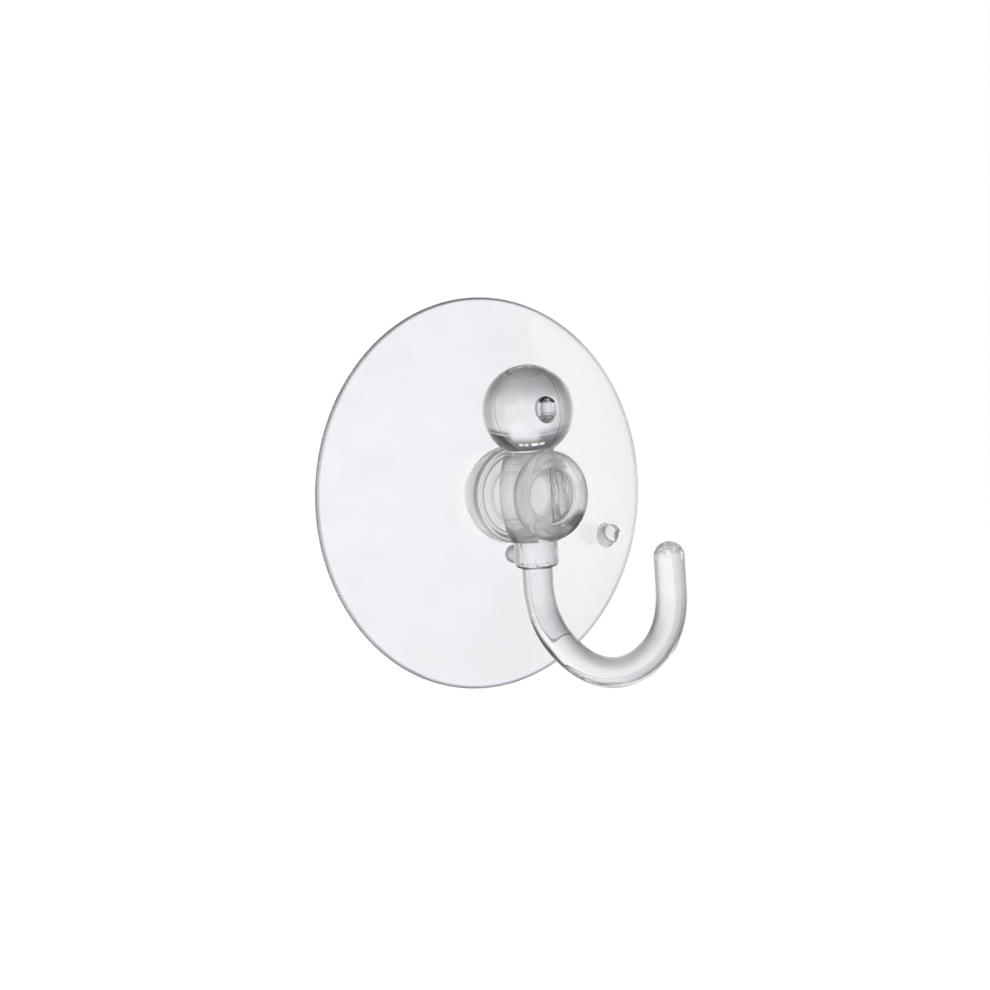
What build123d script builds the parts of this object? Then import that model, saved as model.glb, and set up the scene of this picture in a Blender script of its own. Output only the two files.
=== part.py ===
from build123d import *
from math import atan2, cos, degrees, radians, sin, sqrt
import os

os.makedirs("parts", exist_ok=True)

# Suction cup hook: a soft clear cup whose knob carries a rigid clear hook.
# The origin is the middle of the cup's rim, on the wall. The knob stands out along -Y, the hook
# hangs towards -Z, and X runs to the right as seen from the front. Lengths are in millimetres,
# and what is called a distance is measured out from the wall.

# Dish of the cup
cup_diameter = 60.0
rim_thickness = 0.5
rim_edge = 0.25
rim_land = 0.7
dish_height = 5.6
hollow_depth = 3.4

# Hub, neck and head of the cup, which together are its knob
hub_thickness = 4.3
hub_root_radius = 6.6
hub_widest_radius = 7.4
hub_past_head = 0.23
neck_radius = 3.2
neck_fillet = 0.3
head_radius = 6.72
head_thickness = 1.5
recess_radius = 4.05
recess_depth = 0.6

# Release nub on the face of the dish
nub_reach = 22.8
nub_bearing = -22.0
nub_radius = 1.55
nub_height = 1.9
nub_draft = 3.0
nub_lean = 20.0
nub_fillet = 0.3
nub_edge = 0.2

# Eye of the hook, a barrel with two flats that hangs on the neck
eye_thickness = 7.55
eye_side_gap = 0.25
eye_bore_gap = 0.05
eye_mouth_chamfer = 0.35
eye_middle_radius = 5.08
eye_top_radius = 4.0
eye_bottom_radius = 3.75
eye_edge = 0.25
shaft_offset = 0.4

# Ball above the eye
ball_radius = 6.97
ball_gap = 0.44
ball_neck_radius = 3.6
ball_neck_length = 0.5

# Collar and heel peg below the eye
collar_radius = 3.33
collar_edge = 0.8
collar_below_peg = 0.47
eye_above_peg = 0.7
peg_radius = 1.4
peg_gap = 0.3
peg_tip_distance = 7.2
peg_tip_radius = 1.1

# Rod of the hook: stem, three arcs that flow into each other, and the upright tip
rod_radius = 2.33
stem_length = 2.33
hook_reach = 33.8
hook_depth = 12.86
side_bend_radius = 10.65
tip_length = 4.97

# Places along the knob, out from the wall
cup_radius = cup_diameter / 2
seal_radius = cup_radius - rim_land
hub_front = dish_height + hub_thickness
hub_front_radius = head_radius + hub_past_head
head_back = hub_front + eye_thickness + 2 * eye_side_gap
head_front = head_back + head_thickness
head_edge = head_thickness / 2
eye_rear = hub_front + eye_side_gap
eye_front = head_back - eye_side_gap
shaft_distance = (eye_rear + eye_front) / 2 + shaft_offset

# Heights on the shaft, up from the knob's axis
ball_over_hub = hub_front_radius + sqrt(
    (ball_radius + ball_gap) ** 2 - (shaft_distance - hub_front) ** 2
)
ball_over_head = head_radius - head_edge + sqrt(
    (ball_radius + head_edge + ball_gap) ** 2 - (head_back + head_edge - shaft_distance) ** 2
)
ball_height = max(ball_over_hub, ball_over_head)
ball_neck_top = ball_height - sqrt(ball_radius**2 - ball_neck_radius**2)
eye_top = ball_neck_top - ball_neck_length
peg_height = -(hub_widest_radius + peg_gap + peg_radius)
eye_bottom = peg_height + peg_radius + eye_above_peg
collar_bottom = peg_height - peg_radius - collar_below_peg
bend_start = collar_bottom - stem_length


def dish_face(radius):
    """Distance of the dish's outer face from the wall at a radius."""
    return rim_thickness + (dish_height - rim_thickness) * (1 - (radius / cup_radius) ** 2)


# Suction cup: one turned section for the dish, hub, neck and head, then the nub and the hollow
middle_radius = (hub_root_radius + cup_radius) / 2
hub_root = dish_face(hub_root_radius)
nub_x = nub_reach * cos(radians(nub_bearing))
nub_z = nub_reach * sin(radians(nub_bearing))
nub_start = dish_face(nub_reach) / 2
nub_out = Vector(0, -cos(radians(nub_lean)), sin(radians(nub_lean)))
nub_root = Vector(nub_x, -dish_face(nub_reach), nub_z) - nub_out * nub_start

with BuildPart() as suction_cup:
    with BuildSketch(Plane.XY) as cup_section:
        with BuildLine():
            Line((0, 0), (cup_radius, 0))
            Line((cup_radius, 0), (cup_radius, -rim_thickness))
            ThreePointArc(
                (cup_radius, -rim_thickness),
                (middle_radius, -dish_face(middle_radius)),
                (hub_root_radius, -hub_root),
            )
            ThreePointArc(
                (hub_root_radius, -hub_root),
                (hub_widest_radius, -(hub_root + hub_front) / 2),
                (hub_front_radius, -hub_front),
            )
            Line((hub_front_radius, -hub_front), (neck_radius, -hub_front))
            Line((neck_radius, -hub_front), (neck_radius, -head_back))
            Line((neck_radius, -head_back), (head_radius - head_edge, -head_back))
            ThreePointArc(
                (head_radius - head_edge, -head_back),
                (head_radius, -head_back - head_edge),
                (head_radius - head_edge, -head_front),
            )
            Line((head_radius - head_edge, -head_front), (recess_radius, -head_front))
            Line((recess_radius, -head_front), (recess_radius, -head_front + recess_depth))
            Line((recess_radius, -head_front + recess_depth), (0, -head_front + recess_depth))
            Line((0, -head_front + recess_depth), (0, 0))
        make_face()
        neck_corners = [(neck_radius, -hub_front), (neck_radius, -head_back)]
        fillet([cup_section.vertices().sort_by_distance(c)[0] for c in neck_corners], neck_fillet)
        rim_corner = (cup_radius, -rim_thickness)
        fillet(cup_section.vertices().sort_by_distance(rim_corner)[0], rim_edge)
    revolve(axis=Axis.Y)
    with BuildSketch(Plane(origin=nub_root, x_dir=(1, 0, 0), z_dir=nub_out)):
        Circle(nub_radius)
    extrude(amount=nub_start + nub_height, taper=nub_draft)
    nub_end = nub_root + nub_out * (nub_start + nub_height)
    fillet(suction_cup.faces().sort_by_distance(nub_end)[0].edges(), nub_edge)
    nub_side = suction_cup.faces().filter_by(GeomType.CONE)[0]
    fillet(nub_side.edges().filter_by(GeomType.LINE, reverse=True).sort_by(Axis.Y)[-1], nub_fillet)
    with BuildSketch(Plane.XY):
        with BuildLine():
            ThreePointArc(
                (0, -hollow_depth),
                (seal_radius / 2, -hollow_depth * 0.75),
                (seal_radius, 0),
            )
            Line((seal_radius, 0), (0, 0))
            Line((0, 0), (0, -hollow_depth))
        make_face()
    revolve(axis=Axis.Y, mode=Mode.SUBTRACT)
suction_cup.part.label = "suction_cup"
export_step(suction_cup.part, "parts/suction_cup.step")


# Hook: ball, eye and collar are turned round the shaft, then flattened and bored for the neck
shaft_plane = Plane.XZ.offset(shaft_distance)
shaft_axis = Axis((0, -shaft_distance, 0), (0, 0, 1))
eye_height = ball_neck_top - eye_bottom
bore_radius = neck_radius + eye_bore_gap
mouth_radius = bore_radius + eye_mouth_chamfer
half_reach = hook_reach / 2
bottom_rise = ((half_reach - side_bend_radius) ** 2 - (hook_depth - side_bend_radius) ** 2) / (
    2 * (hook_depth - side_bend_radius)
)
side_turn = degrees(atan2(bottom_rise, half_reach - side_bend_radius))
bottom_turn = 180 - 2 * side_turn
tip_height = bend_start + tip_length

with BuildPart() as hook:
    with BuildSketch(shaft_plane) as shaft_section:
        with BuildLine():
            ThreePointArc(
                (0, ball_height + ball_radius),
                (ball_radius, ball_height),
                (ball_neck_radius, ball_neck_top),
            )
            Line((ball_neck_radius, ball_neck_top), (ball_neck_radius, eye_top))
            Line((ball_neck_radius, eye_top), (eye_top_radius, eye_top))
            ThreePointArc(
                (eye_top_radius, eye_top), (eye_middle_radius, 0), (eye_bottom_radius, eye_bottom)
            )
            Line((eye_bottom_radius, eye_bottom), (collar_radius, eye_bottom))
            Line((collar_radius, eye_bottom), (collar_radius, collar_bottom))
            Line((collar_radius, collar_bottom), (0, collar_bottom))
            Line((0, collar_bottom), (0, ball_height + ball_radius))
        make_face()
        eye_corners = [(eye_top_radius, eye_top), (eye_bottom_radius, eye_bottom)]
        fillet([shaft_section.vertices().sort_by_distance(c)[0] for c in eye_corners], eye_edge)
        collar_corner = (collar_radius, collar_bottom)
        fillet(shaft_section.vertices().sort_by_distance(collar_corner)[0], collar_edge)
    revolve(axis=shaft_axis)

    # Flats that face the hub and the head, and the bore that turns on the neck
    for flat, outward in ((eye_rear, 1), (eye_front, -1)):
        flat_middle = (0, -flat, (ball_neck_top + eye_bottom) / 2)
        with BuildSketch(Plane(flat_middle, x_dir=(1, 0, 0), z_dir=(0, outward, 0))):
            Rectangle(2 * cup_radius, eye_height)
        extrude(amount=cup_radius, mode=Mode.SUBTRACT)
    with BuildSketch(Plane.XY):
        Polygon(
            (0, -hub_front),
            (mouth_radius, -hub_front),
            (mouth_radius, -eye_rear),
            (bore_radius, -eye_rear - eye_mouth_chamfer),
            (bore_radius, -eye_front + eye_mouth_chamfer),
            (mouth_radius, -eye_front),
            (mouth_radius, -head_back),
            (0, -head_back),
            align=None,
        )
    revolve(axis=Axis.Y, mode=Mode.SUBTRACT)

    # Heel peg, from the shaft towards the cup, with a domed end
    with BuildSketch(Plane((0, -shaft_distance, peg_height), x_dir=(1, 0, 0), z_dir=(0, 1, 0))):
        Circle(peg_radius)
    extrude(amount=shaft_distance - peg_tip_distance)
    peg_end = (0, -peg_tip_distance, peg_height)
    fillet(hook.faces().sort_by_distance(peg_end)[0].edges(), peg_tip_radius)

    # Bent rod, from inside the collar to the domed tip
    with BuildLine(Plane.YZ):
        stem = Line((-shaft_distance, peg_height), (-shaft_distance, bend_start))
        inner_bend = JernArc(stem @ 1, stem % 1, side_bend_radius, -side_turn)
        bottom_bend = JernArc(inner_bend @ 1, inner_bend % 1, bottom_rise + hook_depth, -bottom_turn)
        outer_bend = JernArc(bottom_bend @ 1, bottom_bend % 1, side_bend_radius, -side_turn)
        Line(outer_bend @ 1, (-shaft_distance - hook_reach, tip_height))
    with BuildSketch(Plane((0, -shaft_distance, peg_height), z_dir=(0, 0, -1))):
        Circle(rod_radius)
    sweep()
    with Locations((0, -shaft_distance - hook_reach, tip_height)):
        Sphere(rod_radius)
hook.part.label = "hook"
export_step(hook.part, "parts/hook.step")
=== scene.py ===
from math import cos, radians, sin

import bpy
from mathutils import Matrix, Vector


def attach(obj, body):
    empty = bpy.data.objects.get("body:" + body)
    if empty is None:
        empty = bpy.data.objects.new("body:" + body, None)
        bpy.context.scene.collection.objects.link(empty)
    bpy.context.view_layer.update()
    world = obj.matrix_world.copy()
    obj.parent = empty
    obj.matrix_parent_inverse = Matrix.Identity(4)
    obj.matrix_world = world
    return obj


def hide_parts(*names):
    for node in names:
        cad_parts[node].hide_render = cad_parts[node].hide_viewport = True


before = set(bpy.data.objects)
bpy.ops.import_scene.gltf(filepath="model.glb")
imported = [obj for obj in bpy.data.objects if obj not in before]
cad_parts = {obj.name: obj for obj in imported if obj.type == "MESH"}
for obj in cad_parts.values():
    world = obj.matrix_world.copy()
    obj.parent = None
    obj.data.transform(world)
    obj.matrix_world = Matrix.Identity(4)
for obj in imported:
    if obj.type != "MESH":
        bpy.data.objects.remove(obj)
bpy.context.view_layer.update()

MM = 0.001


# Studio: a camera with a long lens, as for a catalogue picture, in front of the cup, to its left
# and level with it. The picture leans 3.5 degrees, because the camera wasn't quite upright.
bpy.ops.object.camera_add(
    location=(-0.47516, -0.69477, 0.05792),
    rotation=(radians(86.026), radians(3.509), radians(-34.775)),
)
camera = bpy.context.object
camera.name = "camera"
camera.data.lens = 200
camera.data.sensor_width = 36
camera.data.clip_start = 0.01
bpy.context.scene.camera = camera
bpy.context.scene.view_settings.view_transform = "Standard"


def add_node(tree, kind, **settings):
    """A new node, with its properties and its sockets' values set by name."""
    node = tree.nodes.new("ShaderNode" + kind)
    for name, value in settings.items():
        if hasattr(node, name):
            setattr(node, name, value)
        else:
            node.inputs[name].default_value = value
    return node


# Surroundings: clear plastic only shows by what it bends into view. So the room is white ahead and
# behind and greyer to its sides, to the floor and high up, with dark panels in its upper corners and
# one broken bright strip above. The eye itself sees plain white behind the hook.
world = bpy.data.worlds.new("white_room")
bpy.context.scene.world = world
world.use_nodes = True
tree = world.node_tree
tree.nodes.clear()
link = tree.links.new


def ramp_of(tree, stops):
    """A colour ramp from pairs of a place and a level or a colour."""
    ramp = add_node(tree, "ValToRGB")
    stop = ramp.color_ramp.elements
    for place, level in stops:
        if place in (0, 1):
            spot = stop[-1 if place else 0]
        else:
            spot = stop.new(place)
        spot.color = (*level, 1) if isinstance(level, tuple) else (level, level, level, 1)
    return ramp


def blend(tree, first, second, how="MIX", amount=1):
    """Brings two colours together; colours and amount are each a socket or a set value."""
    mix = add_node(tree, "Mix", data_type="RGBA", blend_type=how)
    for name, value in (("A", first), ("B", second), ("Factor", amount)):
        if isinstance(value, tuple):
            mix.inputs[name].default_value = (*value, 1)
        elif isinstance(value, (int, float)):
            mix.inputs[name].default_value = value
        else:
            tree.links.new(value, mix.inputs[name])
    return mix.outputs["Result"]


# The photo looks this many degrees to the right of straight at the cup, and so do the room's ends.
AHEAD = 34.5
way = add_node(tree, "TexCoord")
parts = add_node(tree, "SeparateXYZ")
bearing = add_node(tree, "Math", operation="ARCTAN2")
from_ahead = add_node(tree, "Math", operation="SUBTRACT")
from_ahead.inputs[1].default_value = radians(AHEAD)
either_way = add_node(tree, "Math", operation="WRAP")
either_way.inputs[1].default_value = radians(90)
either_way.inputs[2].default_value = radians(-90)
round_share = add_node(tree, "MapRange")
round_share.inputs["From Min"].default_value = radians(-90)
round_share.inputs["From Max"].default_value = radians(90)
height_share = add_node(tree, "MapRange")
height_share.inputs["From Min"].default_value = -1
link(way.outputs["Generated"], parts.inputs["Vector"])
link(parts.outputs["X"], bearing.inputs[0])
link(parts.outputs["Y"], bearing.inputs[1])
link(bearing.outputs[0], from_ahead.inputs[0])
link(from_ahead.outputs[0], either_way.inputs[0])
link(either_way.outputs[0], round_share.inputs["Value"])
link(parts.outputs["Z"], height_share.inputs["Value"])


def round_levels(*stops):
    """Levels round the room, at bearings in degrees from ahead, and again behind."""
    ramp = ramp_of(tree, [((angle + 90) / 180, level) for angle, level in stops])
    link(round_share.outputs["Result"], ramp.inputs["Fac"])
    return ramp.outputs["Color"]


def height_levels(*stops):
    """Levels up the room, at heights in degrees above the horizon."""
    ramp = ramp_of(tree, [((sin(radians(rise)) + 1) / 2, level) for rise, level in stops])
    link(height_share.outputs["Result"], ramp.inputs["Fac"])
    return ramp.outputs["Color"]


walls = blend(tree, round_levels(
    (-90, 0.95), (-82, 0.95), (-74, 0.42), (-65, 0.37), (-52, 0.40), (-46, 0.47), (-40, 0.56),
    (-31, 0.74), (-24, 0.83), (-15, 0.93), (-6, 1), (21, 1), (29, 0.93), (34, 0.83), (38, 0.73),
    (42, 0.62), (47, 0.50), (60, 0.45), (72, 0.46), (80, 0.95), (90, 0.95),
), height_levels(
    (-90, 0.33), (-56, 0.33), (-46, 0.36), (-33, 0.46), (-23, 0.60), (-16, 0.77), (-12, 0.88),
    (-5, 0.98), (5, 1), (12, 1.12), (24, 1.12), (27, 0.95), (31, 0.46), (34, 0.18), (36, 0.08),
    (38, 0), (60, 0), (70, 0.25), (90, 0.7),
), "MULTIPLY")
panels = blend(tree, round_levels(
    (-90, 0), (-75, 0), (-60, 0.35), (-45, 0.5), (-35, 0.75), (-14, 0.72), (-8, 0), (19, 0), (27, 1),
    (66, 1), (76, 0), (90, 0),
), height_levels(
    (-90, 0), (16, 0), (21.5, 0.9), (22.5, 0.3), (24, 0.35), (25, 1), (62, 1), (70, 0), (90, 0),
), "MULTIPLY")
strip = blend(tree, round_levels(
    (-90, 0), (-21, 0), (-19, 1), (-14, 0.9), (-12, 0.15), (-9, 1.2), (-3, 1.4), (-1, 0.1), (2, 0.1),
    (3, 1.1), (7, 0.8), (8, 0.1), (11, 1), (14, 0.8), (17, 0), (90, 0),
), height_levels(
    (-90, 0), (34.5, 0), (35, (1.5, 1.2, 0.5)), (36.3, (1.5, 1.5, 1.3)), (38.3, (1.5, 1.5, 1.6)),
    (39.8, (0.5, 0.7, 1.4)), (40.5, 0), (90, 0),
), "MULTIPLY")
room = add_node(tree, "Background")
link(blend(tree, blend(tree, walls, (0, 0, 0), amount=panels), strip, "ADD"), room.inputs["Color"])
plain = add_node(tree, "Background", Color=(1, 1, 1, 1))
seen = add_node(tree, "LightPath")
choice = add_node(tree, "MixShader")
link(seen.outputs["Is Camera Ray"], choice.inputs["Fac"])
link(room.outputs[0], choice.inputs[1])
link(plain.outputs[0], choice.inputs[2])
end = add_node(tree, "OutputWorld")
link(choice.outputs[0], end.inputs["Surface"])
bpy.context.scene.cycles.max_bounces = 24
bpy.context.scene.cycles.transmission_bounces = 24
bpy.context.scene.cycles.glossy_bounces = 12


# Suction cup: one soft moulding of clear PVC. Dish, hub, neck and the head that keeps the hook on
# are turned shapes. The small nub near the rim is the tab that lets air in to take the cup off.
# Sizes here and below are in millimetres, and Y falls from 0 at the wall as the knob stands out.
def start_line(name, point):
    """A new mesh of one vertex, in edit mode, from which a section is drawn."""
    bpy.ops.object.select_all(action="DESELECT")
    bpy.ops.mesh.primitive_plane_add(size=MM, location=(0, 0, 0))
    piece = bpy.context.object
    piece.name = piece.data.name = name
    bpy.ops.object.mode_set(mode="EDIT")
    bpy.ops.mesh.merge(type="CENTER")
    bpy.ops.transform.translate(value=Vector(point) * MM)
    return piece


def draw_line(start, end, steps):
    """Runs on from the selected vertex, from start to end, in millimetres."""
    step = (Vector(end) - Vector(start)) * MM / steps
    for _ in range(steps):
        bpy.ops.mesh.extrude_vertices_move(TRANSFORM_OT_translate={"value": step})


def draw_arc(start, through, end, steps):
    """Runs on from the selected vertex along a circle's arc through a point, in millimetres."""
    a, b, c = Vector(start), Vector(through), Vector(end)
    normal = (b - a).cross(c - a)
    centre = a + (
        (c - a).length_squared * normal.cross(b - a) + (b - a).length_squared * (c - a).cross(normal)
    ) / (2 * normal.length_squared)
    turn = (a - centre).angle(b - centre) + (b - centre).angle(c - centre)
    turn_on(turn, centre, normal, steps)


def turn_on(turn, centre, axis, steps):
    """Spins what is selected round an axis, right-handed; the operator itself turns left."""
    bpy.ops.mesh.spin(
        steps=steps, angle=-turn, center=Vector(centre) * MM, axis=Vector(axis).normalized()
    )


def draw(points):
    """Draws a section: each entry is an end point, a number of steps and, for an arc, a point on it."""
    at = points[0]
    for entry in points[1:]:
        if len(entry) == 3:
            draw_arc(at, entry[1], entry[0], entry[2])
        else:
            draw_line(at, entry[0], entry[1])
        at = entry[0]


def close_up(piece):
    """Joins the seam and the poles of a turned mesh and points its faces outwards."""
    bpy.ops.mesh.select_all(action="SELECT")
    bpy.ops.mesh.remove_doubles(threshold=0.002 * MM)
    bpy.ops.mesh.normals_make_consistent(inside=False)
    bpy.ops.object.mode_set(mode="OBJECT")


CUP_RADIUS, SEAL_RADIUS, HOLLOW_DEPTH = 30, 29.3, 3.4
HUB_RADIUS, HUB_FRONT = 7.4, -9.9
NECK_RADIUS, NECK_FILLET = 3.2, 0.3
HEAD_RADIUS, HEAD_BACK, HEAD_FRONT = 6.78, -17.95, -19.8
RECESS_RADIUS, RECESS_FLOOR = 4.22, -18.85
cup = start_line("clear_cup", (0, -HOLLOW_DEPTH, 0))
draw([
    (0, -HOLLOW_DEPTH, 0),
    ((SEAL_RADIUS, 0, 0), (SEAL_RADIUS / 2, -0.75 * HOLLOW_DEPTH, 0), 44),
    ((CUP_RADIUS - 0.07, 0, 0), 2),
    ((CUP_RADIUS, -0.07, 0), (CUP_RADIUS - 0.02, -0.02, 0), 4),
    ((CUP_RADIUS, -0.14, 0), 1),
    ((29.42, -0.6, 0), (29.84, -0.46, 0), 12),
    ((6.5, -5.36, 0), (17.96, -3.73, 0), 44),
    ((6.3, -5.6, 0), (6.34, -5.42, 0), 4),
    ((HUB_RADIUS, -7.75, 0), (7.02, -6.65, 0), 12),
    ((7.12, -9.65, 0), (7.33, -8.65, 0), 10),
    ((6.85, HUB_FRONT, 0), (7.03, HUB_FRONT + 0.06, 0), 5),
    ((6.72, -9.86, 0), 1),
    ((5.85, -9.72, 0), (6.3, -9.38, 0), 12),
    ((5.6, -9.8, 0), (5.74, -9.79, 0), 3),
    ((4.6, -9.78, 0), 2),
    ((4.1, -9.78, 0), (4.35, -9.62, 0), 8),
    ((3.5, -9.85, 0), (3.85, -9.84, 0), 3),
    ((NECK_RADIUS, -10.15, 0), (3.29, -9.94, 0), 5),
    ((NECK_RADIUS, HEAD_BACK + NECK_FILLET, 0), 10),
    ((NECK_RADIUS + NECK_FILLET, HEAD_BACK, 0), (3.29, HEAD_BACK + 0.09, 0), 5),
    ((5.5, HEAD_BACK, 0), 4),
    ((HEAD_RADIUS, -19.1, 0), (6.4, -18.32, 0), 14),
    ((5.1, HEAD_FRONT, 0), (6.37, -19.66, 0), 18),
    ((4.42, -19.72, 0), (4.76, -19.79, 0), 5),
    ((4.26, -19.56, 0), (4.3, -19.68, 0), 4),
    ((RECESS_RADIUS, -18.97, 0), 2),
    ((4.1, RECESS_FLOOR, 0), (4.19, RECESS_FLOOR - 0.03, 0), 3),
    ((0, RECESS_FLOOR, 0), 6),
])
bpy.ops.mesh.select_all(action="SELECT")
turn_on(radians(360), (0, 0, 0), (0, 1, 0), 240)
close_up(cup)

# Release nub: a short stub that leans up and out of the dish, with a torn end where its runner
# was pulled off.
NUB_LEAN = radians(20)
NUB_OUT = Vector((0, -cos(NUB_LEAN), sin(NUB_LEAN)))
NUB_FOOT = Vector((21.4, -2.6, -8.7))
NUB_RADIUS, NUB_ROOT, NUB_LENGTH = 1.66, -0.9, 2.4
bpy.ops.object.select_all(action="DESELECT")
bpy.ops.mesh.primitive_circle_add(
    vertices=72, radius=NUB_RADIUS * MM, rotation=(radians(90) - NUB_LEAN, 0, 0)
)
nub = bpy.context.object
nub.name = "nub"
bpy.ops.object.transform_apply(rotation=True)
bpy.ops.object.mode_set(mode="EDIT")
bpy.ops.transform.translate(value=(NUB_FOOT + NUB_OUT * NUB_ROOT) * MM)
bpy.ops.mesh.edge_face_add()
along, wide = NUB_ROOT, NUB_RADIUS
for further, width in (
    (-0.02, NUB_RADIUS), (0.06, 1.6), (0.16, 1.56), (0.3, 1.53), (0.5, 1.51), (1.3, 1.48), (2, 1.46),
    (2.12, 1.45), (2.23, 1.41), (2.31, 1.33), (2.37, 1.24), (NUB_LENGTH, 1.1), (NUB_LENGTH, 0.75),
    (2.38, 0.4),
):
    bpy.ops.mesh.extrude_region_move(
        TRANSFORM_OT_translate={"value": NUB_OUT * (further - along) * MM}
    )
    bpy.ops.transform.resize(
        value=[width / wide] * 3, center_override=(NUB_FOOT + NUB_OUT * further) * MM
    )
    along, wide = further, width
close_up(nub)


def combine(piece, other, how):
    """Joins another closed mesh to the piece, or cuts it out, and removes that other one."""
    bpy.ops.object.select_all(action="DESELECT")
    piece.select_set(True)
    bpy.context.view_layer.objects.active = piece
    step = piece.modifiers.new(how.lower(), "BOOLEAN")
    step.operation, step.object, step.solver = how, other, "MANIFOLD"
    bpy.ops.object.modifier_apply(modifier=step.name)
    bpy.data.objects.remove(other)


def smooth(piece):
    """Smooth shading that breaks at sharp edges, with the normals of flats left flat."""
    bpy.ops.object.select_all(action="DESELECT")
    piece.select_set(True)
    bpy.context.view_layer.objects.active = piece
    bpy.ops.object.shade_smooth_by_angle(angle=radians(35))
    piece.modifiers.new("normals", "WEIGHTED_NORMAL").keep_sharp = True
    bpy.ops.object.modifier_apply(modifier="normals")


BITE = NUB_FOOT + NUB_OUT * 2.6 + Vector((1.0, 0, -0.85))
BITE_RADIUS, RAGGEDNESS = 1.0, 0.06
bpy.ops.object.select_all(action="DESELECT")
bpy.ops.mesh.primitive_ico_sphere_add(subdivisions=4, radius=BITE_RADIUS * MM, location=BITE * MM)
bite = bpy.context.object
bite.name = "bite"
bpy.ops.object.transform_apply(location=True)
for vertex in bite.data.vertices:
    x, y, z = vertex.co / MM
    vertex.co += vertex.normal * RAGGEDNESS * MM * (sin(9 * x + 2) + sin(11 * z + 5 * y))
combine(nub, bite, "DIFFERENCE")
combine(cup, nub, "UNION")

# Recess of the head: the right half is where the sprue was torn off, so its floor is rippled and
# lies deeper than the left half, behind an upright step.
TEAR_FLOOR, TEAR_RADIUS, TEAR_WIDTH, STEP_AT = -18.52, 3.95, 8, 0.35
bpy.ops.object.select_all(action="DESELECT")
bpy.ops.mesh.primitive_grid_add(
    x_subdivisions=72, y_subdivisions=40, size=TEAR_WIDTH * MM,
    location=((STEP_AT + TEAR_WIDTH / 2) * MM, 0, 0), rotation=(radians(90), 0, 0),
)
tear = bpy.context.object
tear.name = "tear"
bpy.ops.object.transform_apply(location=True, rotation=True)
for vertex in tear.data.vertices:
    x, y, z = vertex.co / MM
    vertex.co.y = MM * (TEAR_FLOOR + 0.11 * sin(4.3 * x + 0.25 * z) * (1 + 0.4 * sin(1.3 * z + x))
                        + 0.03 * sin(9.7 * x - 0.4 * z + 1) + 0.06 * sin(1.9 * z + 2.3 * x)
                        + 0.22 * max(0, x - 2.7))
    vertex.co.x += MM * (0.09 * sin(1.7 * z + 0.6) + 0.05 * sin(5.3 * z))
bpy.ops.object.mode_set(mode="EDIT")
bpy.ops.mesh.select_all(action="SELECT")
bpy.ops.mesh.extrude_region_move(TRANSFORM_OT_translate={"value": (0, -0.75 * MM, 0)})
close_up(tear)
core = start_line("core", (0, -18.1, 0))
draw([
    (0, -18.1, 0), ((TEAR_RADIUS, -18.1, 0), 3), ((TEAR_RADIUS, -19.3, 0), 4), ((0, -19.3, 0), 3),
])
bpy.ops.mesh.select_all(action="SELECT")
turn_on(radians(360), (0, 0, 0), (0, 1, 0), 96)
close_up(core)
combine(tear, core, "INTERSECT")
combine(cup, tear, "DIFFERENCE")
smooth(cup)

clear_pvc = bpy.data.materials.new("clear_pvc")
clear_pvc.use_nodes = True
tree = clear_pvc.node_tree
link = tree.links.new
shell = tree.nodes["Principled BSDF"]
shell.inputs["IOR"].default_value = 1.53
shell.inputs["Transmission Weight"].default_value = 1


def places_on(tree):
    """Where a point of a piece is: as a vector, as X, Y and Z, and as its reach from the Y axis."""
    spot = add_node(tree, "TexCoord").outputs["Object"]
    sides = add_node(tree, "SeparateXYZ")
    flat = add_node(tree, "Mapping", Scale=(1, 0, 1))
    reach = add_node(tree, "VectorMath", operation="LENGTH")
    tree.links.new(spot, sides.inputs["Vector"])
    tree.links.new(spot, flat.inputs["Vector"])
    tree.links.new(flat.outputs["Vector"], reach.inputs[0])
    return spot, *sides.outputs, reach.outputs["Value"]


def share_of(tree, socket, low, high, unit=MM):
    """How far a value has come from low to high, in millimetres unless told, from 0 to 1."""
    span = add_node(tree, "MapRange")
    span.inputs["From Min"].default_value = low * unit
    span.inputs["From Max"].default_value = high * unit
    tree.links.new(socket, span.inputs["Value"])
    return span.outputs["Result"]


def graded(tree, socket, stops, unit=MM):
    """Levels or colours at places along a value, each running over into the next."""
    low, high = stops[0][0], stops[-1][0]
    ramp = ramp_of(tree, [((place - low) / (high - low), level) for place, level in stops])
    tree.links.new(share_of(tree, socket, low, high, unit), ramp.inputs["Fac"])
    return ramp.outputs["Color"]


def sum_up(tree, kind, *values):
    """Values brought together, one after the other, by a Math node's operation."""
    total = values[0]
    for value in values[1:]:
        result = add_node(tree, "Math", operation=kind)
        for socket, given in zip(result.inputs, (total, value)):
            if isinstance(given, (int, float)):
                socket.default_value = given
            else:
                tree.links.new(given, socket)
        total = result.outputs[0]
    return total


def distance_to(tree, spot, centre):
    """How far a point of a piece is from a centre in millimetres."""
    gap = add_node(tree, "VectorMath", operation="DISTANCE")
    gap.inputs[1].default_value = centre * MM
    tree.links.new(spot, gap.inputs[0])
    return gap.outputs["Value"]


def noise_on(tree, spot, **settings):
    """A fine random pattern that stays with the piece."""
    noise = add_node(tree, "TexNoise", **settings)
    tree.links.new(spot, noise.inputs["Vector"])
    return noise.outputs["Fac"]


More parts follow.
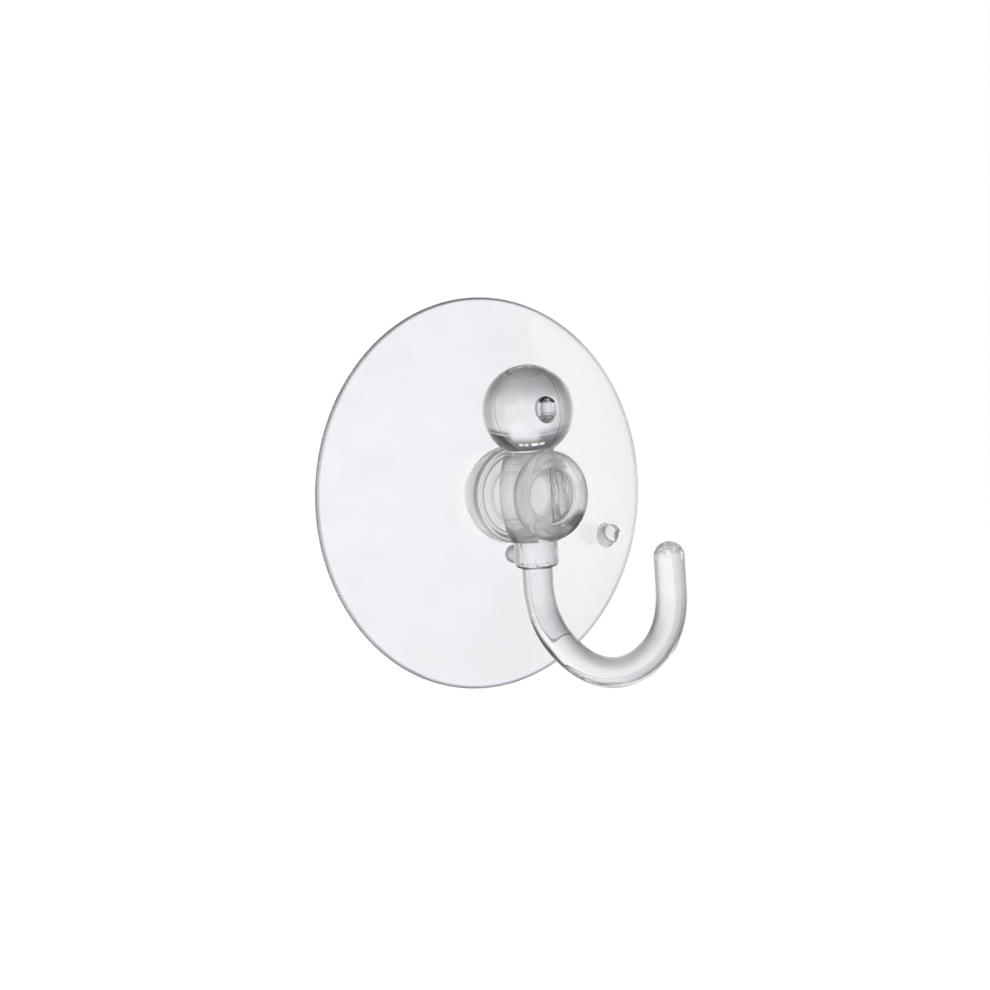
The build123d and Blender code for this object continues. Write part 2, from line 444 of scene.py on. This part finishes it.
# How much of the light is bent: the dish is a thin film that most of it goes straight through, and
# the hub's side wall lets nearly half of it by, while knob, nub and rim are thick enough to bend it
# all. Where the knob touches the hook, it goes straight on from one to the other.
spot, across, out, up, reach = places_on(tree)
times, most = "MULTIPLY", "MAXIMUM"
FILM = 0.215
thick = graded(tree, reach, [
    (0, 1), (5.04, 1), (5.22, FILM), (19.26, FILM), (19.365, 0.25), (19.47, 0.23), (19.56, FILM),
    (29.49, FILM), (29.7, 1), (CUP_RADIUS, 1),
])
hub_wall = graded(tree, out, [(0, 0), (-5.38, 0), (-5.6, 0.58), (-8.9, 0.58), (-9.16, 1), (-20, 1)])
on_nub = share_of(tree, distance_to(tree, spot, NUB_FOOT + NUB_OUT * 1.05), 2.12, 2.04)
dust = add_node(tree, "TexVoronoi", Scale=120, Randomness=1)
link(spot, dust.inputs["Vector"])
speck = share_of(tree, dust.outputs["Distance"], 0.022, 0.012, unit=1)
body = sum_up(tree, most, thick, hub_wall, on_nub, sum_up(tree, times, speck, 0.5))
touching = graded(tree, out, [(0, 0), (-9.7, 0), (-9.9, 1), (-17.97, 1), (-18.02, 0), (-20, 0)])
contact = sum_up(tree, times, touching, share_of(tree, reach, 6.75, 6.6), 0.9)
link(sum_up(tree, "SUBTRACT", body, contact), shell.inputs["Alpha"])

# Colour: a faint cool grey in the film, a rim with painted shade, dark to the left and paler to the
# right, slight mottling and dust, and a nub with painted shade on its sides and bite and a white torn
# end.
CLEAR_MIDDLE, CLEAR, FILM_GREY = (0.965, 0.965, 0.985), (0.95, 0.95, 0.97), (0.56, 0.56, 0.72)
# Painted shade on the rim: darker on the left side of the dish, paler on the right.
left_shaded_film, right_shaded_film = (graded(tree, reach, [
    (0, CLEAR_MIDDLE), (5.04, CLEAR), (5.22, FILM_GREY), (29.49, FILM_GREY), (29.7, rim),
    (CUP_RADIUS, edge),
]) for rim, edge in (
    ((0.36, 0.37, 0.40), (0.28, 0.29, 0.32)), ((0.72, 0.73, 0.76), (0.66, 0.67, 0.70)),
))
tint = blend(tree, left_shaded_film, right_shaded_film, amount=share_of(tree, across, 8, 26))
tint = blend(tree, tint, CLEAR, amount=share_of(tree, out, -5.38, -5.44))
blotches = noise_on(tree, spot, Scale=190, Detail=3, Roughness=0.45)
tint = blend(tree, tint, graded(tree, blotches, [
    (0, 0.84), (0.42, 0.86), (0.5, 0.98), (0.62, 1), (1, 0.9),
], unit=1), "MULTIPLY")
DARK = (0.06, 0.06, 0.07)
tint = blend(tree, tint, DARK, amount=speck)
nub_rise = add_node(tree, "VectorMath", operation="DOT_PRODUCT")
nub_rise.inputs[1].default_value = NUB_OUT
link(spot, nub_rise.inputs[0])
nub_top = NUB_FOOT.dot(NUB_OUT) + NUB_LENGTH
at_end = share_of(tree, nub_rise.outputs["Value"], nub_top - 0.35, nub_top - 0.1)
in_bite = share_of(
    tree, distance_to(tree, spot, BITE), BITE_RADIUS + 3 * RAGGEDNESS, BITE_RADIUS + 0.08)
# Painted shade: the nub's sides and its bite are darkened, and its torn end is left pale.
tint = blend(tree, tint, graded(tree, sum_up(tree, "SUBTRACT", at_end, in_bite), [
    (0, (0.56, 0.56, 0.58)), (0.5, (0.66, 0.66, 0.68)), (1, (0.92, 0.92, 0.93)),
], unit=1), amount=on_nub)
behind_knob = sum_up(tree, times, share_of(tree, out, -5, -4.5), share_of(tree, reach, 7, 6.6))
tint = blend(tree, tint, (0.86, 0.86, 0.90), amount=behind_knob)
# Painted shade: the hub's side and front are greyed, most in the groove that faces the eye, and the
# head's face is greyed, most along the recess floor.
tint = blend(tree, tint, graded(tree, out, [
    (0, 1), (-5.56, 1), (-5.8, 0.88), (-9.2, 0.86), (-9.4, 0.78), (-9.84, 0.78), (-10, 1),
    (-18.76, 1), (-18.84, 0.68), (-18.9, 0.82), (-20, 0.82),
]), "MULTIPLY")

# Painted light and shade in the head's face: a ring with painted shade to the lower left and painted
# light to the upper right, a painted shadow line along the step, a painted shadow round the torn half,
# a painted dark smudge of shade to the lower right, and a light lip at the recess.
in_ring = sum_up(tree, times, share_of(tree, out, -18.1, -18.3), share_of(tree, reach, 4.25, 4.45))
leaning = sum_up(tree, "ADD", up, sum_up(tree, times, across, 0.5))
# Painted shade and light: the ring is darker to the lower left and lighter to the upper right.
tint = blend(tree, tint, graded(tree, leaning, [
    (-6, 0.92), (-4.2, 0.9), (-2.4, 0.84), (0, 0.88), (2.64, 1), (6, 1.2),
]), "MULTIPLY", in_ring)
in_recess = sum_up(
    tree, times, share_of(tree, out, -18.2, -18.3), share_of(tree, out, -18.95, -18.9),
    share_of(tree, reach, 4.2, 4.15),
)
# Painted shadows: a line along the step and a crescent round the torn half of the recess.
step_shadow_line = sum_up(tree, times, share_of(tree, across, 0.14, 0.26), share_of(tree, across, 0.56, 0.42))
torn_edge_shadow = sum_up(tree, times, share_of(tree, reach, 3.5, 4.0), share_of(tree, across, 0.8, 2.2))
recess_shadows = sum_up(tree, times, in_recess, sum_up(tree, most, step_shadow_line, torn_edge_shadow), 0.65)
# Painted shade: a dark smudge with a ragged edge on the ring to the lower right.
patch = add_node(
    tree, "Mapping", vector_type="TEXTURE", Location=(3.75 * MM, -19 * MM, -4 * MM),
    Rotation=(0, radians(-35), 0), Scale=(2.1 * MM, 20 * MM, 1.15 * MM),
)
patch_reach = add_node(tree, "VectorMath", operation="LENGTH")
link(spot, patch.inputs["Vector"])
link(patch.outputs["Vector"], patch_reach.inputs[0])
smudge_ragging = sum_up(tree, times, noise_on(tree, spot, Scale=900, Detail=3), 0.7)
shade_smudge = sum_up(tree, times, share_of(
    tree, sum_up(tree, "ADD", patch_reach.outputs["Value"], smudge_ragging), 1.5, 0.9, unit=1), in_ring)
tint = blend(tree, tint, DARK, amount=sum_up(tree, most, recess_shadows, shade_smudge))
on_lip = sum_up(tree, times, share_of(tree, out, -18.93, -19), share_of(tree, reach, 4.36, 4.28))
link(blend(tree, tint, (0.97, 0.97, 0.98), amount=on_lip), shell.inputs["Base Color"])

# The mould was polished on the outside only: neck, hub's front, back of the head and the floor of
# its recess are satin, and so is the nub. Satin plastic is a little milky too.
satin = graded(tree, out, [
    (0, 0), (-9.24, 0), (-9.44, 0.2), (-9.84, 0.2), (-10, 0.34), (-18, 0.34), (-18.16, 0.02),
    (-18.76, 0.02), (-18.82, 0.26), (-18.88, 0.26), (-18.94, 0), (-20, 0),
])
ring_satin = graded(tree, out, [(0, 0.26), (-18.6, 0.26), (-18.94, 0.08), (-20, 0.08)])
rough = sum_up(
    tree, most, sum_up(tree, times, satin, share_of(tree, reach, 6.9, 6.7)),
    sum_up(tree, times, on_nub, 0.22), sum_up(tree, times, in_ring, ring_satin),
    sum_up(tree, times, on_lip, 0.3),
)
link(rough, shell.inputs["Roughness"])
milk = sum_up(
    tree, most, sum_up(tree, times, rough, 1.3), sum_up(tree, times, in_ring, 0.2),
    sum_up(tree, times, on_lip, 0.65),
)
link(sum_up(tree, "SUBTRACT", 1, milk), shell.inputs["Transmission Weight"])
cup.data.materials.clear()
cup.data.materials.append(clear_pvc)
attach(cup, "cup")
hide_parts("suction_cup")


# Hook: one hard moulding of water-clear plastic. Ball, eye and collar are turned about the shaft,
# and the rod runs on from the collar in three arcs that flow into each other, to a domed tip.
def dome(centre, direction, radius, steps):
    """Closes a tube's selected end ring with half a ball, ring by ring."""
    width, out = radius, 0
    for step in range(1, steps + 1):
        turn = radians(90 * step / steps)
        slimmer, further = radius * cos(turn) + 1e-4, radius * sin(turn)
        bpy.ops.mesh.extrude_region_move(
            TRANSFORM_OT_translate={"value": Vector(direction) * (further - out) * MM}
        )
        bpy.ops.transform.resize(value=[slimmer / width] * 3, center_override=(
            Vector(centre) + Vector(direction) * further) * MM)
        width, out = slimmer, further
    bpy.ops.mesh.merge(type="COLLAPSE")


SHAFT = -14.325
BALL_RADIUS, BALL_HEIGHT, BALL_NECK_RADIUS = 6.97, 12.89, 3.6
COLLAR_RADIUS = 3.33
ROD_RADIUS, BEND_START = 2.33, -13.3
SIDE_BEND, SIDE_TURN, BOTTOM_MIDDLE = 10.65, 51.05, -5.57
HOOK_REACH, TIP_LENGTH = 33.8, 4.97
hook = start_line("clear_hook", (0, SHAFT, 19.8))
draw([
    (0, SHAFT, 19.8),
    ((0.22, SHAFT, 19.79), 2),
    ((0.28, SHAFT, 19.853), 2),
    ((BALL_NECK_RADIUS, SHAFT, 6.92), (BALL_RADIUS, SHAFT, BALL_HEIGHT), 60),
    ((BALL_NECK_RADIUS, SHAFT, 6.0), 2),
    ((3.3, SHAFT, 5.8), 1),
    ((COLLAR_RADIUS, SHAFT, -10.17), 8),
    ((2.53, SHAFT, -10.97), (3.1, SHAFT, -10.74), 8),
    ((2.43, SHAFT, -11.0), 1),
    ((ROD_RADIUS, SHAFT, -11.15), (2.36, SHAFT, -11.04), 3),
    ((ROD_RADIUS, SHAFT, BEND_START), 4),
])
bpy.ops.mesh.select_all(action="SELECT")
turn_on(radians(360), (0, SHAFT, 0), (0, 0, 1), 144)
bpy.ops.mesh.select_all(action="SELECT")
bpy.ops.mesh.remove_doubles(threshold=0.002 * MM)
bpy.ops.mesh.select_all(action="DESELECT")
bpy.ops.object.mode_set(mode="OBJECT")
for vertex in hook.data.vertices:
    vertex.select = vertex.co.z < (BEND_START + 0.001) * MM
bpy.ops.object.mode_set(mode="EDIT")
for turn, middle, height, steps in (
    (SIDE_TURN, SIDE_BEND, BEND_START, 26),
    (180 - 2 * SIDE_TURN, HOOK_REACH / 2, BOTTOM_MIDDLE, 64),
    (SIDE_TURN, HOOK_REACH - SIDE_BEND, BEND_START, 26),
):
    turn_on(radians(turn), (0, SHAFT - middle, height), (-1, 0, 0), steps)
bpy.ops.mesh.extrude_region_move(TRANSFORM_OT_translate={"value": (0, 0, TIP_LENGTH * MM)})
dome((0, SHAFT - HOOK_REACH, BEND_START + TIP_LENGTH), (0, 0, 1), ROD_RADIUS, 14)
close_up(hook)

# Parting line: where the two halves of the mould meet, they leave a fine ridge on the front of the
# ball, a little to the right of the rod's plane. On the rod it is polished away.
SEAM_TURN, SEAM_HEIGHT = radians(10), 0.035
bpy.ops.object.mode_set(mode="EDIT")
for aside in (-0.5, 0, 0.5):
    bpy.ops.mesh.select_all(action="DESELECT")
    bpy.ops.object.mode_set(mode="OBJECT")
    for face in hook.data.polygons:
        face.select = face.center.z > 7 * MM and face.center.y < SHAFT * MM
    bpy.ops.object.mode_set(mode="EDIT")
    bpy.ops.mesh.bisect(
        plane_co=(0, SHAFT * MM, 0), threshold=0.0001 * MM,
        plane_no=(cos(SEAM_TURN + radians(aside)), sin(SEAM_TURN + radians(aside)), 0),
    )
bpy.ops.mesh.select_all(action="DESELECT")
bpy.ops.object.mode_set(mode="OBJECT")
for vertex in hook.data.vertices:
    x, y, z = vertex.co / MM
    vertex.select = (z > 7.2 and y < SHAFT and abs(
        x * cos(SEAM_TURN) + (y - SHAFT) * sin(SEAM_TURN)) < 0.003)
bpy.ops.object.mode_set(mode="EDIT")
bpy.ops.transform.shrink_fatten(value=SEAM_HEIGHT * MM)
bpy.ops.mesh.select_all(action="DESELECT")
bpy.ops.object.mode_set(mode="OBJECT")

# Eye of the hook: a barrel with a flat towards the hub and a flat towards the head. It is cut a
# little proud, and two insets that step in to the flat round its edge as the mould does.
EYE_REAR, EYE_FRONT, EYE_RADIUS = -10.15, -17.7, 5.08
EYE_TOP, EYE_FOOT, PROUD = 6.42, -7.0, 0.12
eye = start_line("eye", (0, SHAFT, EYE_TOP))
draw([
    (0, SHAFT, EYE_TOP),
    ((3.8, SHAFT, EYE_TOP), 4),
    ((4.03, SHAFT, 6.2), (3.97, SHAFT, 6.35), 4),
    ((3.8, SHAFT, -6.8), (EYE_RADIUS, SHAFT, 0), 40),
    ((3.6, SHAFT, EYE_FOOT), (3.74, SHAFT, -6.94), 4),
    ((0, SHAFT, EYE_FOOT), 4),
])
bpy.ops.mesh.select_all(action="SELECT")
turn_on(radians(360), (0, SHAFT, 0), (0, 0, 1), 144)
close_up(eye)
bpy.ops.object.mode_set(mode="EDIT")
bpy.ops.mesh.select_mode(type="FACE")
for flat, outward, half_width, half_height in ((EYE_REAR, 1, 2.6, 5.1), (EYE_FRONT, -1, 3.5, 6.7)):
    bpy.ops.mesh.select_all(action="SELECT")
    bpy.ops.mesh.bisect(
        plane_co=(0, (flat + PROUD * outward) * MM, 0), plane_no=(0, outward, 0),
        use_fill=True, clear_outer=True, threshold=0.0001 * MM,
    )
    bpy.ops.mesh.select_all(action="DESELECT")
    bpy.ops.object.mode_set(mode="OBJECT")
    for face in eye.data.polygons:
        face.select = face.normal.y * outward > 0.999 and len(face.vertices) > 20
    bpy.ops.object.mode_set(mode="EDIT")
    middle = Vector((0, flat, 0))
    for width, depth in ((0.04, 0.06), (0.06, 0.045), (0.08, 0.015), (0.08, 0)):
        bpy.ops.mesh.extrude_region_move(
            TRANSFORM_OT_translate={"value": (0, -outward * depth * MM, 0)}
        )
        bpy.ops.transform.resize(
            value=(1 - width / half_width, 1, 1 - width / half_height),
            center_override=middle * MM,
        )
bpy.ops.mesh.select_mode(type="VERT")
bpy.ops.object.mode_set(mode="OBJECT")

# Bore that turns on the neck, with a rounded mouth at either end.
BORE_RADIUS, MOUTH = NECK_RADIUS + 0.05, 0.5
MOUTH_SAG = MOUTH * (1 - cos(radians(45)))
bore = start_line("bore", (0, -9.5, 0))
draw([
    (0, -9.5, 0),
    ((BORE_RADIUS + MOUTH, -9.5, 0), 4),
    ((BORE_RADIUS + MOUTH, EYE_REAR, 0), 1),
    ((BORE_RADIUS, EYE_REAR - MOUTH, 0), (BORE_RADIUS + MOUTH_SAG, EYE_REAR - MOUTH_SAG, 0), 7),
    ((BORE_RADIUS, EYE_FRONT + MOUTH, 0), 6),
    ((BORE_RADIUS + MOUTH, EYE_FRONT, 0), (BORE_RADIUS + MOUTH_SAG, EYE_FRONT + MOUTH_SAG, 0), 7),
    ((BORE_RADIUS + MOUTH, -18.5, 0), 1),
    ((0, -18.5, 0), 4),
])
bpy.ops.mesh.select_all(action="SELECT")
turn_on(radians(360), (0, 0, 0), (0, 1, 0), 144)
close_up(bore)

# Heel peg: a short pin with a domed end that stands out under the hub and steadies the hook.
PEG_RADIUS, PEG_HEIGHT, PEG_LENGTH, PEG_DOME = 1.4, -9.1, 6, 1.1
DOME_START = -8.3
bpy.ops.object.select_all(action="DESELECT")
bpy.ops.mesh.primitive_cylinder_add(
    vertices=64, radius=PEG_RADIUS * MM, depth=PEG_LENGTH * MM, end_fill_type="NOTHING",
    location=(0, (DOME_START - PEG_LENGTH / 2) * MM, PEG_HEIGHT * MM), rotation=(radians(90), 0, 0),
)
peg = bpy.context.object
peg.name = "peg"
bpy.ops.object.transform_apply(location=True, rotation=True)
bpy.ops.object.mode_set(mode="EDIT")
bpy.ops.mesh.select_all(action="DESELECT")
bpy.ops.object.mode_set(mode="OBJECT")
for vertex in peg.data.vertices:
    vertex.select = vertex.co.y > -9 * MM
bpy.ops.object.mode_set(mode="EDIT")
dome((0, DOME_START, PEG_HEIGHT), (0, PEG_DOME / PEG_RADIUS, 0), PEG_RADIUS, 10)
bpy.ops.mesh.select_all(action="DESELECT")
bpy.ops.mesh.select_non_manifold()
bpy.ops.mesh.edge_face_add()
close_up(peg)

# Shrink void in the ball: a bubble that opens in thick clear mouldings, as their middle cools last.
bpy.ops.object.select_all(action="DESELECT")
VOID, VOID_SIZE = Vector((1.52, SHAFT - 1.03, 12.9)), Vector((1.15, 1.25, 1.62))
bpy.ops.mesh.primitive_uv_sphere_add(
    segments=64, ring_count=48, radius=1, location=VOID * MM, scale=VOID_SIZE * MM,
)
void = bpy.context.object
void.name = "void"
bpy.ops.object.transform_apply(location=True, rotation=True, scale=True)
for height, squash, squeeze in ((0.7, 0.72, 1.04), (-0.7, 0.8, 0.9)):
    bpy.ops.object.mode_set(mode="EDIT")
    bpy.ops.mesh.select_all(action="DESELECT")
    bpy.ops.object.mode_set(mode="OBJECT")
    for vertex in void.data.vertices:
        vertex.select = (vertex.co.z / MM - VOID.z - height) * height > 0
    bpy.ops.object.mode_set(mode="EDIT")
    bpy.ops.mesh.select_mode(type="VERT")
    bpy.ops.transform.resize(
        value=(squeeze, squeeze, squash), center_override=(VOID + Vector((0, 0, height))) * MM
    )
    bpy.ops.object.mode_set(mode="OBJECT")

combine(hook, eye, "UNION")
combine(hook, bore, "DIFFERENCE")
combine(hook, peg, "UNION")
combine(hook, void, "DIFFERENCE")
smooth(hook)

clear_styrene = bpy.data.materials.new("clear_styrene")
clear_styrene.use_nodes = True
tree = clear_styrene.node_tree
link = tree.links.new
shell = tree.nodes["Principled BSDF"]
shell.inputs["IOR"].default_value = 1.57
shell.inputs["Transmission Weight"].default_value = 1
spot, _, out, up, reach = places_on(tree)

# The bore and the two flats are left satin by the core pins, the barrel and the peg a little, and
# the tip is frosted in flecks by its ejector. The collar's lower edge has dark flecks.
in_bore = share_of(tree, reach, 4.1, 3.8)
at_eye = graded(tree, up, [
    (-30, 0), (-8.7, 0), (-8.3, 0.3), (-7.05, 0.3), (-6.95, 1), (6.3, 1), (6.4, 0), (20, 0),
])
on_flats = sum_up(tree, times, at_eye, graded(tree, out, [
    (0, 0.4), (-10.2, 0.4), (-10.28, 0), (-17.58, 0), (-17.66, 0.4), (-20, 0.4), (-20.5, 0),
    (-45, 0), (-46, 0.3), (-50, 0.3),
]))
on_peg = sum_up(tree, times, share_of(tree, out, -11.2, -10.9), share_of(tree, up, -7.2, -7.4))
satin = sum_up(
    tree, most, sum_up(tree, times, in_bore, 0.4), on_flats, sum_up(tree, times, on_peg, 0.3),
    sum_up(tree, times, at_eye, 0.12),
)
link(satin, shell.inputs["Roughness"])
flecks = noise_on(tree, spot, Scale=1500, Detail=4, Roughness=0.65)
frost = sum_up(
    tree, times, share_of(tree, flecks, 0.5, 0.6, unit=1), share_of(tree, out, -44, -45),
    share_of(tree, up, -8.8, -8.3),
)
milk = sum_up(tree, most, sum_up(tree, times, satin, 0.9), sum_up(tree, times, frost, 0.75))
link(sum_up(tree, "SUBTRACT", 1, milk), shell.inputs["Transmission Weight"])
off_tip = share_of(tree, out, -30, -29)
collar_flecks = sum_up(
    tree, times, share_of(tree, flecks, 0.47, 0.58, unit=1), share_of(tree, up, -10.1, -10.7),
    share_of(tree, up, -11.15, -11), off_tip,
)
WATER_CLEAR, EYE_GREY = (0.935, 0.935, 0.948), (0.88, 0.883, 0.9)
tint = graded(tree, up, [
    (-30, WATER_CLEAR), (-7.05, WATER_CLEAR), (-6.9, EYE_GREY), (6.2, EYE_GREY), (6.35, WATER_CLEAR),
    (20, WATER_CLEAR),
])
link(blend(tree, tint, (0.12, 0.12, 0.13), amount=collar_flecks), shell.inputs["Base Color"])
contact = sum_up(tree, most, in_bore, sum_up(tree, times, on_flats, 2.5))
link(sum_up(
    tree, "SUBTRACT", 1, sum_up(tree, times, contact, off_tip, 0.9)), shell.inputs["Alpha"])
hook.data.materials.clear()
hook.data.materials.append(clear_styrene)
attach(hook, "hook")
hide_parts("hook")


# Floor: a pale sheet well below the hook, as the hook is made to hang on a wall. The eye sees it
# white, and it keeps the soft shadow that the lamps and the room throw on it.
bpy.ops.object.select_all(action="DESELECT")
bpy.ops.mesh.primitive_circle_add(vertices=96, radius=12, fill_type="NGON", location=(0, 0, -0.26))
floor = bpy.context.object
floor.name = "floor"
floor.visible_glossy = False
floor.visible_transmission = False
pale_sheet = bpy.data.materials.new("pale_sheet")
pale_sheet.use_nodes = True
tree = pale_sheet.node_tree
link = tree.links.new
tree.nodes.clear()
paper = add_node(tree, "BsdfDiffuse", Color=(0.8, 0.8, 0.8, 1))
glow = add_node(tree, "Emission", Strength=0.82)
seen = add_node(tree, "LightPath")
unlit = add_node(tree, "Emission", Strength=0)
choice = add_node(tree, "MixShader")
link(seen.outputs["Is Camera Ray"], choice.inputs["Fac"])
link(unlit.outputs[0], choice.inputs[1])
link(glow.outputs[0], choice.inputs[2])
total = add_node(tree, "AddShader")
link(paper.outputs[0], total.inputs[0])
link(choice.outputs[0], total.inputs[1])
end = add_node(tree, "OutputMaterial")
link(total.outputs[0], end.inputs["Surface"])
floor.data.materials.append(pale_sheet)

# Lamps: two wide soft boxes, high in front to the left and lower to the right.
BOX_WIDTH = 0.8
for name, place, power in (
    ("key_softbox", (-0.75, -0.8, 1.1), 16), ("fill_softbox", (0.9, -0.5, 0.6), 6),
):
    bpy.ops.object.light_add(type="AREA", location=place)
    lamp = bpy.context.object
    lamp.name = name
    lamp.rotation_euler = (-Vector(place)).to_track_quat("-Z", "Y").to_euler()
    lamp.data.size = BOX_WIDTH
    lamp.data.energy = power
    lamp.visible_camera = False
    lamp.visible_glossy = False
    lamp.visible_transmission = False
